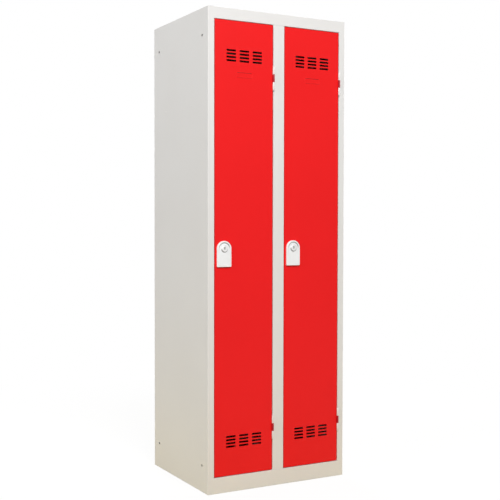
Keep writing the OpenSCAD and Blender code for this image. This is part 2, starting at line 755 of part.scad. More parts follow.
left_side_panel();
right_side_panel();
back_panel();
top_panel();
floor_panel();
plinth();
centre_stile();
centre_partition();
hat_shelf();  // left_hat_shelf
mirrored_x() hat_shelf();  // right_hat_shelf
shelf_rivets();
rail_brackets();  // left_rail_brackets
mirrored_x() rail_brackets();  // right_rail_brackets
hanging_rail();  // left_hanging_rail
mirrored_x() hanging_rail();  // right_hanging_rail
coat_hook();  // left_coat_hook
mirrored_x() coat_hook();  // right_coat_hook
door_bumpers();  // left_door_bumpers
bay(1) door_bumpers();  // right_door_bumpers
hinge_frame_lugs(hinge_z_upper);  // left_upper_hinge_frame_lugs
hinge_frame_lugs(hinge_z_lower);  // left_lower_hinge_frame_lugs
bay(1) hinge_frame_lugs(hinge_z_upper);  // right_upper_hinge_frame_lugs
bay(1) hinge_frame_lugs(hinge_z_lower);  // right_lower_hinge_frame_lugs
hinge_pin(hinge_z_upper);  // left_upper_hinge_pin
hinge_pin(hinge_z_lower);  // left_lower_hinge_pin
bay(1) hinge_pin(hinge_z_upper);  // right_upper_hinge_pin
bay(1) hinge_pin(hinge_z_lower);  // right_lower_hinge_pin
door_pan();  // left_door_pan
bay(1) door_pan();  // right_door_pan
door_stiffener();  // left_door_stiffener
bay(1) door_stiffener();  // right_door_stiffener
hinge_door_leaf(hinge_z_upper);  // left_upper_hinge_door_leaf
hinge_door_leaf(hinge_z_lower);  // left_lower_hinge_door_leaf
bay(1) hinge_door_leaf(hinge_z_upper);  // right_upper_hinge_door_leaf
bay(1) hinge_door_leaf(hinge_z_lower);  // right_lower_hinge_door_leaf
lock_plate();  // left_lock_plate
bay(1) lock_plate();  // right_lock_plate
plate_screws();  // left_plate_screws
bay(1) plate_screws();  // right_plate_screws
lock_housing();  // left_lock_housing
bay(1) lock_housing();  // right_lock_housing
lock_nut();  // left_lock_nut
bay(1) lock_nut();  // right_lock_nut
lock_plug();  // left_lock_plug
bay(1) lock_plug();  // right_lock_plug
lock_cam();  // left_lock_cam
bay(1) lock_cam();  // right_lock_cam
cam_screw();  // left_cam_screw
bay(1) cam_screw();  // right_cam_screw
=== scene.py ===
from math import atan2, cos, pi, radians, sin

import bmesh
import bpy
from mathutils import Matrix, Vector


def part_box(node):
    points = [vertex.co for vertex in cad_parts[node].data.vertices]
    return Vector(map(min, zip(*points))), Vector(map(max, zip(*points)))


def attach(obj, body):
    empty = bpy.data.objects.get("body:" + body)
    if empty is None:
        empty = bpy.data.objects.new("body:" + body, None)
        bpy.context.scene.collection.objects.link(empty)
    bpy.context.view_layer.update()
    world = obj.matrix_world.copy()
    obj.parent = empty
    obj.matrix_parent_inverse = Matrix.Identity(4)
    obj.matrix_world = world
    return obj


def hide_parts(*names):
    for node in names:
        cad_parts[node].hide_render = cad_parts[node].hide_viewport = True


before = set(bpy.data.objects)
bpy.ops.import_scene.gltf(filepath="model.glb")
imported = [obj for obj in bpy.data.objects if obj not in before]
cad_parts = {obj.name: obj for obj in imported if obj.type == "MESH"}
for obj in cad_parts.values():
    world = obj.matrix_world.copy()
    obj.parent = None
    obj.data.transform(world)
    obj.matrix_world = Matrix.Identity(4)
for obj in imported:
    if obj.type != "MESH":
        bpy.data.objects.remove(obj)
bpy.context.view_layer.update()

# The camera stands about 3.8 m from the locker, to the left of its front, a little above half
# height. Its place, turn and lens were solved from the corners of the carcass and the doors.
CAMERA_PLACE = Vector((-1.8181, -3.3449, 1.0121))
CAMERA_YAW = radians(28.698)
CAMERA_PITCH = radians(-1.7223)
CAMERA_ROLL = radians(0.104)
CAMERA_LENS = 67.58
CAMERA_SENSOR = 36
CAMERA_NEAR, CAMERA_FAR = 0.05, 100
ahead = Vector((
    sin(CAMERA_YAW) * cos(CAMERA_PITCH),
    cos(CAMERA_YAW) * cos(CAMERA_PITCH),
    sin(CAMERA_PITCH),
))
level_right = Vector((cos(CAMERA_YAW), -sin(CAMERA_YAW), 0))
level_up = level_right.cross(ahead)
camera_right = level_right * cos(CAMERA_ROLL) + level_up * sin(CAMERA_ROLL)
camera_up = level_up * cos(CAMERA_ROLL) - level_right * sin(CAMERA_ROLL)
camera = bpy.data.objects.new("camera", bpy.data.cameras.new("camera"))
camera.data.lens = CAMERA_LENS
camera.data.sensor_width = CAMERA_SENSOR
camera.data.clip_start = CAMERA_NEAR
camera.data.clip_end = CAMERA_FAR
turn = Matrix((camera_right, camera_up, -ahead)).transposed()
camera.matrix_world = Matrix.Translation(CAMERA_PLACE) @ turn.to_4x4()
bpy.context.scene.collection.objects.link(camera)
bpy.context.scene.camera = camera
bpy.context.scene.view_settings.view_transform = "Standard"


class Wire:
    """One output of a material's node tree. Arithmetic on wires and numbers adds Math nodes."""

    def __init__(self, tree, socket=None):
        self.tree = tree
        self.socket = socket

    def node(self, kind, settings=None, sockets=None, output=0):
        """Adds a node of any kind: its settings first, then the values or wires of its sockets."""
        made = self.tree.nodes.new("ShaderNode" + kind)
        for name, value in (settings or {}).items():
            setattr(made, name, value)
        for name, value in (sockets or {}).items():
            if isinstance(value, Wire):
                self.tree.links.new(value.socket, made.inputs[name])
            else:
                made.inputs[name].default_value = value
        return Wire(self.tree, made.outputs[output] if made.outputs else None)

    def math(self, operation, first, second):
        return self.node("Math", {"operation": operation}, {0: first, 1: second})

    def __add__(self, other):
        return self.math("ADD", self, other)

    __radd__ = __add__

    def __sub__(self, other):
        return self.math("SUBTRACT", self, other)

    def __rsub__(self, other):
        return self.math("SUBTRACT", other, self)

    def __mul__(self, other):
        return self.math("MULTIPLY", self, other)

    __rmul__ = __mul__

    def __abs__(self):
        return self.math("ABSOLUTE", self, 0)

    def ramp(self, low, high):
        """0 where this wire is at low or less, 1 where it is at high or more, smooth between."""
        sockets = {"Value": self, "From Min": low, "From Max": high}
        return self.node("MapRange", {"interpolation_type": "SMOOTHSTEP"}, sockets)

    def mix(self, first, second):
        """The first colour where this wire is 0 and the second where it is 1."""
        return self.node("Mix", {"data_type": "RGBA"}, {0: self, 6: first, 7: second}, output=2)

    def part(self, axis):
        """This vector's part along an axis, by the axis's letter."""
        return self.node("SeparateXYZ", sockets={"Vector": self}, output=axis)

    def noise(self, place, scale, detail, roughness):
        """Cloudy noise over the places given: the larger its scale, the finer it is."""
        return self.node("TexNoise", sockets={
            "Vector": place, "Scale": scale, "Detail": detail, "Roughness": roughness,
        })

    def bump(self, height, strength, distance):
        """The surface's normal as it leans where height rises and falls."""
        return self.node("Bump", sockets={
            "Strength": strength, "Distance": distance, "Height": height,
        })


def finish(name):
    """A new material with its shader: what its section sets on the shader makes it that finish."""
    material = bpy.data.materials.new(name)
    material.use_nodes = True
    shader = material.node_tree.nodes["Principled BSDF"]
    start = Wire(material.node_tree)
    place = start.node("TexCoord", output="Object")
    return material, shader, start, place


def feed(shader, **sockets):
    """Sets the shader's sockets to values, or links them to wires."""
    for name, value in sockets.items():
        socket = shader.inputs[name.replace("_", " ")]
        if isinstance(value, Wire):
            value.tree.links.new(value.socket, socket)
        else:
            socket.default_value = value


# The floor shows as a plain white studio floor with a faint shadow, and the room beyond it is
# white, both to the camera and in what the metal mirrors. Near the locker the floor throws up a
# warm light.
FLOOR_HALF = 30
FLOOR_DROP = 0.0005
SHADOW_SHARE = 0.12
SHADOW_REACH = 2.4
FLOOR_CHALK = (0.93, 0.92, 0.90, 1)
FLOOR_NEAR = (0.58, 0.46, 0.19, 1)
FLOOR_FAR = (0.40, 0.39, 0.38, 1)
NEAR_REACH, FAR_REACH = 0.4, 2.2
ROOM_LIGHT = 0.19
WHITE = (1, 1, 1, 1)
floor_mesh = bpy.data.meshes.new("floor")
floor_mesh.from_pydata(
    [(x * FLOOR_HALF, y * FLOOR_HALF, -FLOOR_DROP)
     for x, y in ((-1, -1), (1, -1), (1, 1), (-1, 1))],
    [], [(0, 1, 2, 3)],
)
floor = bpy.data.objects.new("floor", floor_mesh)
bpy.context.scene.collection.objects.link(floor)
floor_finish = bpy.data.materials.new("studio_floor")
floor_finish.use_nodes = True
floor_tree = floor_finish.node_tree
floor_tree.nodes.clear()
start = Wire(floor_tree)
seen = start.node("LightPath", output="Is Camera Ray")
mirrored = start.node("LightPath", output="Is Glossy Ray")
shown = start.math("MAXIMUM", seen, mirrored)
place = start.node("TexCoord", output="Object")
from_locker = start.node("VectorMath", {"operation": "LENGTH"}, {0: place}, output="Value")
bounce = from_locker.ramp(NEAR_REACH, FAR_REACH).mix(FLOOR_NEAR, FLOOR_FAR)
chalk = start.node("BsdfDiffuse", sockets={"Color": shown.mix(bounce, FLOOR_CHALK)})
glow = start.node("Emission", sockets={"Color": WHITE, "Strength": 1.0})
white_share = 1 - SHADOW_SHARE + SHADOW_SHARE * from_locker.ramp(SHADOW_REACH / 2, SHADOW_REACH)
blend = start.node("MixShader", sockets={0: shown * white_share, 1: chalk, 2: glow})
start.node("OutputMaterial", sockets={"Surface": blend})
floor_mesh.materials.append(floor_finish)

world = bpy.data.worlds.new("room")
world.use_nodes = True
bpy.context.scene.world = world
world_tree = world.node_tree
world_tree.nodes.clear()
start = Wire(world_tree)
seen = start.node("LightPath", output="Is Camera Ray")
mirrored = start.node("LightPath", output="Is Glossy Ray")
through = start.node("LightPath", output="Is Transmission Ray")
shown = start.math("MAXIMUM", start.math("MAXIMUM", seen, mirrored), through)
strength = shown * (1 - ROOM_LIGHT) + ROOM_LIGHT
room = start.node("Background", sockets={"Color": WHITE, "Strength": strength})
start.node("OutputWorld", sockets={"Surface": room})


# Soft boxes light the locker: the main one in front and above, a weaker one to the left for the
# side panel, one overhead for the roof, and two more for the right side and the back.
for name, place, target, width, height, watts in (
    ("front_box", (-0.7, -4.3, 4.0), (0.0, -0.2, 1.3), 2.2, 2.0, 222),
    ("left_box", (-4.6, -0.6, 2.8), (-0.3, 0, 1.1), 2.2, 2.2, 110),
    ("roof_box", (0.2, 0.6, 4.6), (0, 0, 1.8), 2.0, 2.0, 26),
    ("right_box", (4.8, 0.5, 2.8), (0.3, 0, 1.1), 2.2, 2.2, 100),
    ("back_box", (0.4, 4.8, 3.0), (0, 0.25, 1.1), 2.2, 2.2, 110),
):
    data = bpy.data.lights.new(name, "AREA")
    data.shape = "RECTANGLE"
    data.size = width
    data.size_y = height
    data.energy = watts
    lamp = bpy.data.objects.new(name, data)
    lamp.location = place
    lamp.rotation_mode = "QUATERNION"
    lamp.rotation_quaternion = (Vector(target) - Vector(place)).to_track_quat("-Z", "Y")
    bpy.context.scene.collection.objects.link(lamp)


# The carcass is 0.8 mm steel sheet, folded and spot-welded, and powder-coated light grey: a
# semi-gloss coat with the fine orange peel of baked powder. The CAD's sheets stay, and take this
# coat.
CARCASS_GREY = (0.73, 0.725, 0.715, 1)
CARCASS_GREY_DEEP = (0.71, 0.70, 0.685, 1)
PEEL_DEPTH = 0.0004
CLOUD_SHARE = 0.6
SPECK_ROUGHNESS = 0.10
CLOUD_ROUGHNESS = 0.05
# Painted shade: the dark red that a crease of the coat is given where shade falls in it.
PAINTED_CREASE_SHADE = (0.07, 0.012, 0.011, 1)


def powder_coat(name, plain, deep, peel, gloss, shine, crease_shade=None):
    """Baked powder: orange peel, a faint cloud in the tone, and a slightly uneven gloss. The last
    argument is a function that says where shade is painted on it, in its creases."""
    material, shader, start, place = finish(name)
    peel_noise = start.noise(place, scale=520, detail=1.5, roughness=0.45)
    cloud = start.noise(place, scale=3.1, detail=2.0, roughness=0.5)
    speck = start.noise(place, scale=160, detail=3.0, roughness=0.6)
    tone = (CLOUD_SHARE * cloud.ramp(0.3, 0.8)).mix(plain, deep)
    # Painted shade: the coat darkens to the crease colour where the function given says.
    if crease_shade:
        tone = crease_shade(start, place).mix(tone, PAINTED_CREASE_SHADE)
    feed(
        shader,
        Base_Color=tone,
        Roughness=gloss + SPECK_ROUGHNESS * speck.ramp(0.35, 0.75) + CLOUD_ROUGHNESS * cloud,
        Normal=start.bump(peel_noise, strength=peel, distance=PEEL_DEPTH),
        Specular_IOR_Level=shine,
    )
    return material


carcass_paint = powder_coat(
    "light_grey_powder_coat", CARCASS_GREY, CARCASS_GREY_DEEP, peel=0.22, gloss=0.33, shine=0.4,
)
CARCASS_SHEETS = (
    "left_side_panel", "right_side_panel", "back_panel", "top_panel", "floor_panel", "plinth",
    "centre_stile", "centre_partition", "left_hat_shelf", "right_hat_shelf",
)


def dress(nodes, material):
    """Gives CAD nodes a finish in place of the one they were packed with."""
    for node in nodes:
        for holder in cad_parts[node].material_slots:
            holder.material = material


dress(CARCASS_SHEETS, carcass_paint)


# The hat shelves hang on blind rivets through the side panels and the partition: aluminium rivets
# with domed heads, set before painting and so in the carcass's coat.
RIVET_DOME = 0.0012
RIVET_RADIUS = 0.0036
# Points of the dome, as shares of its radius and height.
RIVET_DOME_SHARES = ((0.5, 0.87), (0.83, 0.5), (1, 0.12), (1, 0))
RIVET_STEM = 0.002
# Points of the blind tail, as their radius and their depth behind the sheets.
RIVET_TAIL = ((0.003, 0.0003), (0.0029, 0.0014), (0.002, 0.0021), (0.0002, 0.0022))
RIVET_STEPS = 28
RIVETED_SHEET = 0.0008
# The radius at the tip of a turned piece, where a flat face closes it.
TIP = 0.0002
# Faces that meet at less than this angle shade as one smooth surface.
SMOOTH_UNDER = radians(35)


def ring(radius, height, steps):
    """The points of a level circle round the local Z axis."""
    return [
        Vector((radius * cos(2 * pi * i / steps), radius * sin(2 * pi * i / steps), height))
        for i in range(steps)
    ]


def skin(mesh, loops, closed=False):
    """Faces between each two neighbouring loops, which all have as many points and run alike."""
    made = [[mesh.verts.new(point) for point in loop] for loop in loops]
    pairs = list(zip(made, made[1:]))
    if closed:
        pairs.append((made[-1], made[0]))
    for near, far in pairs:
        for i in range(len(near)):
            after = (i + 1) % len(near)
            mesh.faces.new((near[i], near[after], far[after], far[i]))
    return made


def lathe(mesh, profile, place, steps):
    """Turns a profile of (radius, height) pairs about the local Z axis, and closes its ends."""
    made = skin(mesh, [
        [place @ point for point in ring(radius, height, steps)] for radius, height in profile
    ])
    mesh.faces.new(made[0])
    mesh.faces.new(made[-1])


def arc(centre, radius, start, end, steps):
    """Points of a flat arc, with its angles in degrees, as (x, y) pairs."""
    turns = [radians(start + (end - start) * i / steps) for i in range(steps + 1)]
    return [(centre[0] + radius * cos(t), centre[1] + radius * sin(t)) for t in turns]


def settled(name, mesh):
    """An object in the scene, made from a mesh under construction."""
    bmesh.ops.recalc_face_normals(mesh, faces=mesh.faces)
    data = bpy.data.meshes.new(name)
    mesh.to_mesh(data)
    mesh.free()
    made = bpy.data.objects.new(name, data)
    bpy.context.scene.collection.objects.link(made)
    return made


def hollowed(made, hollow):
    """Cuts a hollow out of an object, for good."""
    cutter = settled("cutter", hollow)
    cut = made.modifiers.new("cut", "BOOLEAN")
    cut.operation = "DIFFERENCE"
    cut.solver = "EXACT"
    cut.object = cutter
    whole, tool = made.data, cutter.data
    evaluated = made.evaluated_get(bpy.context.evaluated_depsgraph_get())
    shape = bpy.data.meshes.new_from_object(evaluated)
    made.modifiers.remove(cut)
    made.data = shape
    bpy.data.objects.remove(cutter)
    bpy.data.meshes.remove(whole)
    bpy.data.meshes.remove(tool)
    shape.name = made.name


def piece(name, mesh, material, body, stands_for, cuts=()):
    """Makes a piece of the object from a mesh under construction, and puts it on its body."""
    made = settled(name, mesh)
    for hollow in cuts:
        hollowed(made, hollow)
    data = made.data
    data.materials.clear()
    data.materials.append(material)
    data.polygons.foreach_set("material_index", [0] * len(data.polygons))
    data.polygons.foreach_set("use_smooth", [True] * len(data.polygons))
    data.set_sharp_from_angle(angle=SMOOTH_UNDER)
    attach(made, body)
    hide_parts(*stands_for)
    return made


def along(place, direction):
    """A local frame whose Z axis points in the direction given."""
    turn = Vector(direction).to_track_quat("Z", "Y").to_matrix().to_4x4()
    return Matrix.Translation(place) @ turn


rivets_low, rivets_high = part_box("shelf_rivets")
rivet_height = (rivets_low.z + rivets_high.z) / 2
rivet_rows = (rivets_low.y + RIVET_RADIUS, rivets_high.y - RIVET_RADIUS)
side_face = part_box("right_side_panel")[1].x
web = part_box("centre_partition")[0].x
# Where each dome sits, which way it looks, and how many sheets its rivet holds.
rivet_places = ((-side_face, -1, 2), (side_face, 1, 2), (web - RIVETED_SHEET, -1, 3))
rivets = bmesh.new()
for depth in rivet_rows:
    for x, outward, sheets in rivet_places:
        grip = sheets * RIVETED_SHEET
        profile = [(TIP, RIVET_DOME)]
        profile += [(RIVET_RADIUS * out, RIVET_DOME * up) for out, up in RIVET_DOME_SHARES]
        profile += [(RIVET_STEM, 0), (RIVET_STEM, -grip)]
        profile += [(out, -grip - down) for out, down in RIVET_TAIL]
        lathe(rivets, profile, along((x, depth, rivet_height), (outward, 0, 0)), RIVET_STEPS)
piece("shelf_rivet_heads", rivets, carcass_paint, "carcass", ["shelf_rivets"])


# Each hanging rail is a chromed tube in two zinc-plated brackets, welded under the hat shelf. The
# CAD's tubes and brackets stay, and take these finishes.
TUBE_CHROME = (0.78, 0.79, 0.80, 1)
ZINC = (0.66, 0.67, 0.68, 1)
# The dark that painted shade gives metal.
PAINTED_SHADE_DARK = (0.012, 0.012, 0.013, 1)
PATCH_TONE = 0.82
STREAK_HEIGHT = 0.0001


def brushed_metal(name, colour, rough, spread, streaks, streak_depth, bare=1.0, metal_shade=None):
    """Plated metal dulled by fine lines, which streaks scales along each axis. Under a lacquer
    bare is less than 1, and the last argument says where shade is painted on the metal."""
    material, shader, start, place = finish(name)
    stretched = start.node("VectorMath", {"operation": "MULTIPLY"}, {0: place, 1: streaks})
    lines = start.noise(stretched, scale=1.0, detail=3.0, roughness=0.6)
    patch = start.noise(place, scale=55, detail=3.0, roughness=0.55)
    dull = tuple(PATCH_TONE * part for part in colour[:3]) + (1,)
    tone = patch.ramp(0.35, 0.75).mix(colour, dull)
    # Painted shade, where the function given says.
    if metal_shade:
        tone = metal_shade(start, place).mix(tone, PAINTED_SHADE_DARK)
    feed(
        shader,
        Base_Color=tone,
        Metallic=bare,
        Roughness=rough + spread * lines + spread * patch,
        Normal=start.bump(lines, strength=streak_depth, distance=STREAK_HEIGHT),
    )
    return material


rail_chrome = brushed_metal(
    "chromed_tube", TUBE_CHROME, rough=0.06, spread=0.10, streaks=(40, 2600, 2600),
    streak_depth=0.10,
)
zinc_plate = brushed_metal(
    "zinc_plating", ZINC, rough=0.26, spread=0.18, streaks=(700, 700, 90), streak_depth=0.16,
)
dress(("left_hanging_rail", "right_hanging_rail"), rail_chrome)
dress(("left_rail_brackets", "right_rail_brackets"), zinc_plate)


# A coat hook is spot-welded to the back of each compartment: a stamped plate with a long and a
# short prong of 6 mm rod, each bent up and ended in a forged ball, all zinc-plated.
HOOK_PLATE_HALF = (0.012, 0.030)
HOOK_PLATE_THICK = 0.002
HOOK_PLATE_CORNER = 0.006
HOOK_PLATE_EDGE = 0.0007
HOOK_ROD = 0.003
HOOK_BALL = 0.0045
HOOK_FILLET = 0.0014
HOOK_FILLET_WAIST = 0.4
HOOK_SUNK = 0.0002
# Each prong: its height over the plate's middle, its level run, its bend's radius and its rise.
HOOK_PRONGS = ((0.008, 0.024, 0.016, 0.008), (-0.018, 0.010, 0.010, 0.004))
ROD_STEPS = 20
# A rounded edge has one middle point, this share of its radius in from both its faces.
MID_BEND = 0.3


def outline(low, high, radius, steps=4):
    """A rectangle with round corners, as (x, z) pairs, from its low and its high corner."""
    corners = (
        (high[0] - radius, high[1] - radius, 0), (low[0] + radius, high[1] - radius, 90),
        (low[0] + radius, low[1] + radius, 180), (high[0] - radius, low[1] + radius, 270),
    )
    return [
        point for x, z, turn in corners for point in arc((x, z), radius, turn, turn + 90, steps)
    ]


def upright(points, y):
    """Puts (x, z) pairs in the upright plane at y."""
    return [Vector((x, y, z)) for x, z in points]


def bent_rod(mesh, stations, x):
    """A round rod in the plane at x, from (y, z, direction in degrees, radius) stations."""
    loops = []
    for y, z, heading, radius in stations:
        normal = Vector((0, -sin(radians(heading)), cos(radians(heading))))
        loops.append([
            Vector((x, y, z)) + radius * (cos(2 * pi * i / ROD_STEPS) * Vector((1, 0, 0))
                                          + sin(2 * pi * i / ROD_STEPS) * normal)
            for i in range(ROD_STEPS)
        ])
    made = skin(mesh, loops)
    mesh.faces.new(made[0])
    mesh.faces.new(made[-1])


for bay in ("left", "right"):
    low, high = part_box(bay + "_coat_hook")
    middle_x = (low.x + high.x) / 2
    middle_z = low.z + HOOK_PLATE_HALF[1]
    hook = bmesh.new()
    sections = ((0, 0), (HOOK_PLATE_THICK - HOOK_PLATE_EDGE, 0),
                (HOOK_PLATE_THICK - MID_BEND * HOOK_PLATE_EDGE, MID_BEND * HOOK_PLATE_EDGE),
                (HOOK_PLATE_THICK, HOOK_PLATE_EDGE))
    plate = skin(hook, [
        upright(outline(
            (middle_x - HOOK_PLATE_HALF[0] + inset, middle_z - HOOK_PLATE_HALF[1] + inset),
            (middle_x + HOOK_PLATE_HALF[0] - inset, middle_z + HOOK_PLATE_HALF[1] - inset),
            HOOK_PLATE_CORNER - inset), high.y - depth)
        for depth, inset in sections
    ])
    hook.faces.new(plate[0])
    hook.faces.new(plate[-1])
    plate_face = high.y - HOOK_PLATE_THICK
    for rise_at, run, bend, rise in HOOK_PRONGS:
        z = middle_z + rise_at
        stations = [
            (plate_face + HOOK_SUNK, z, 180, HOOK_ROD + HOOK_FILLET),
            (plate_face - MID_BEND * HOOK_FILLET, z, 180,
             HOOK_ROD + HOOK_FILLET_WAIST * HOOK_FILLET),
            (plate_face - HOOK_FILLET, z, 180, HOOK_ROD),
        ]
        stations += [
            (plate_face - run - bend * sin(radians(turn)), z + bend * (1 - cos(radians(turn))),
             180 - turn, HOOK_ROD)
            for turn in range(0, 91, 10)
        ]
        ball_z = z + bend + rise
        neck = (HOOK_BALL ** 2 - HOOK_ROD ** 2) ** 0.5
        stations += [
            (plate_face - run - bend, ball_z + HOOK_BALL * sin(radians(tilt)), 90,
             max(HOOK_BALL * cos(radians(tilt)), TIP / 2))
            for tilt in range(-45, 91, 15) if HOOK_BALL * sin(radians(tilt)) > -neck
        ]
        bent_rod(hook, stations, middle_x)
    piece(bay + "_bent_coat_hook", hook, zinc_plate, "carcass", [bay + "_coat_hook"])


# Rubber buttons are pushed through the stop lip on each door's free side, one high and one low: a
# domed head that the shut door rests on, and a barbed stem behind the sheet.
BUMPER_HEAD = 0.004
BUMPER_STEM = 0.0015
BUMPER_STAND = 0.0016
# Points of the head, as a share of its radius and their depth behind its front.
BUMPER_DOME = ((0.55, 0.00008), (0.82, 0.0003), (0.96, 0.0007), (1, 0.0012), (1, BUMPER_STAND))
# Points of the barb, as their radius and their depth behind the lip.
BUMPER_BARB = ((0.0024, 0), (0.0022, 0.0010), (0.0016, 0.0024), (0.0002, 0.0025))
BUMPER_STEPS = 32
LIP_SHEET = 0.0008
RUBBER = (0.016, 0.016, 0.017, 1)
RUBBER_BLOOM = (0.034, 0.033, 0.032, 1)
RUBBER_ROUGHNESS = 0.55
BLOOM_ROUGHNESS = 0.25
black_rubber, shader, start, place = finish("moulded_black_rubber")
bloom = start.noise(place, scale=420, detail=3.0, roughness=0.6)
feed(
    shader,
    Base_Color=bloom.ramp(0.4, 0.8).mix(RUBBER, RUBBER_BLOOM),
    Roughness=RUBBER_ROUGHNESS + BLOOM_ROUGHNESS * bloom,
    Normal=start.bump(bloom, strength=0.3, distance=0.0002),
)
for bay in ("left", "right"):
    low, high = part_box(bay + "_door_bumpers")
    buttons = bmesh.new()
    lip_back = BUMPER_STAND + LIP_SHEET
    profile = [(TIP, 0)] + [(BUMPER_HEAD * out, depth) for out, depth in BUMPER_DOME]
    profile += [(BUMPER_STEM, BUMPER_STAND), (BUMPER_STEM, lip_back)]
    profile += [(out, lip_back + depth) for out, depth in BUMPER_BARB]
    for z in (low.z + BUMPER_HEAD, high.z - BUMPER_HEAD):
        lathe(buttons, profile, along(((low.x + high.x) / 2, low.y, z), (0, 1, 0)), BUMPER_STEPS)
    piece(bay + "_rubber_buttons", buttons, black_rubber, "carcass",
          [bay + "_door_bumpers"])


# Each door is a pan of 0.8 mm sheet, folded back on four sides, with a return along its rear edge.
# It is punched with two blocks of vent slots and pressed out in a thin frame for a name card.
DOOR_DEPTH = 0.018
DOOR_SHEET = 0.0008
DOOR_FOLD = 0.0016
DOOR_RETURN = 0.012
DOOR_CORNER = 0.0013
DOOR_LEAST_CORNER = 0.0003
HEM_ROUND = 0.0002
SLOT_HALF = (0.01975, 0.0035)
SLOT_CORNER = 0.0006
SLOT_ROLL = 0.00035
# Sections of a slot: how much wider than its clear opening, and how deep.
SLOT_SECTIONS = ((SLOT_ROLL, 0), (MID_BEND * SLOT_ROLL, MID_BEND * SLOT_ROLL), (0, SLOT_ROLL),
                 (0, DOOR_SHEET))
SLOT_COLUMNS = 3
SLOT_ROWS = 4
SLOT_COLUMN_PITCH = 0.055
SLOT_ROW_PITCH = 0.0125
SLOT_EDGE = 0.109
LABEL_HALF = (0.034, 0.0105)
LABEL_RIM = 0.0024
LABEL_RAISE = 0.0008
LABEL_DROP = 0.197
LABEL_STEPS = 8
CREASE_HALF = 0.0009
# The painted shade fades out across a crease, and it ends inside the sheet.
CREASE_ENDS = (0.3 * CREASE_HALF, 1.7 * CREASE_HALF)
CREASE_BEHIND = (0.2 * DOOR_SHEET, 0.8 * DOOR_SHEET)
# How dark the painted shade is under the upper rim, and under the lower rim's foot.
UPPER_CREASE_SHADE = 0.6
FOOT_CREASE_SHADE = 0.25
LOCK_FROM_EDGE = 0.0369
LOCK_RISE = 0.850
BARREL_HOLE = 0.00955
SCREW_HOLE = 0.00205
SCREW_PLACES = ((-0.020, -0.016), (0.020, -0.016))
HOLE_STEPS = 32
DOOR_RED = (0.81, 0.0092, 0.0104, 1)
DOOR_RED_DEEP = (0.765, 0.0082, 0.0094, 1)


def red_coat(name, crease_shade=None):
    """The coat of the doors and of what is welded inside them."""
    return powder_coat(
        name, DOOR_RED, DOOR_RED_DEEP, peel=0.20, gloss=0.30, shine=0.2, crease_shade=crease_shade,
    )


def crease_shaded_coat(name, middle):
    """The doors' coat, with painted shade outside in the creases under the card frame's two long
    rims.
    """
    def crease_shade(start, place):
        offset = start.node("VectorMath", {"operation": "SUBTRACT"}, {0: place, 1: middle})
        outside = 1 - offset.part("Y").ramp(*CREASE_BEHIND)
        crease_end = LABEL_HALF[0] - LABEL_RIM
        along_crease = 1 - abs(offset.part("X")).ramp(crease_end - LABEL_RIM, crease_end)

        def crease(z):
            return 1 - abs(offset.part("Z") - z).ramp(*CREASE_ENDS)

        upper = UPPER_CREASE_SHADE * crease(LABEL_HALF[1] - LABEL_RIM)
        lower = FOOT_CREASE_SHADE * crease(-LABEL_HALF[1])
        return outside * along_crease * (upper + lower)
    return red_coat(name, crease_shade)


def pan_sections():
    """Points along the sheet's section, from the face round to the face's back, each as its inset
    from the door's edge and its depth behind the face."""
    quarter = [radians(22.5 * i) for i in range(5)]
    rear = DOOR_DEPTH
    inside = DOOR_FOLD - DOOR_SHEET
    outer_fold = [(DOOR_FOLD * (1 - sin(t)), DOOR_FOLD * (1 - cos(t))) for t in quarter]
    rear_fold = [(DOOR_FOLD * (1 - cos(t)), rear - DOOR_FOLD * (1 - sin(t))) for t in quarter]
    hem_face = rear - DOOR_SHEET
    hem = [(DOOR_RETURN - HEM_ROUND, rear), (DOOR_RETURN, rear - HEM_ROUND),
           (DOOR_RETURN, hem_face + HEM_ROUND), (DOOR_RETURN - HEM_ROUND, hem_face)]
    rear_inner = [(DOOR_FOLD - inside * sin(t), rear - DOOR_FOLD + inside * cos(t))
                  for t in quarter]
    front_inner = [(DOOR_FOLD - inside * cos(t), DOOR_FOLD - inside * sin(t)) for t in quarter]
    return outer_fold + rear_fold + hem + rear_inner + front_inner


def fill(mesh, loops):
    """Fills the flat sheet inside the first loop and round the others."""
    edges = []
    for loop in loops:
        for near, far in zip(loop, loop[1:] + loop[:1]):
            edges.append(mesh.edges.get((near, far)) or mesh.edges.new((near, far)))
    bmesh.ops.triangle_fill(mesh, use_beauty=True, edges=edges)


def flat_shaded(made):
    """Keeps the broad flats of sheet or moulding flat in shading, up to their rounded edges."""
    flats = made.modifiers.new("broad_flats", "WEIGHTED_NORMAL")
    flats.mode = "FACE_AREA"
    flats.weight = 50
    flats.keep_sharp = True


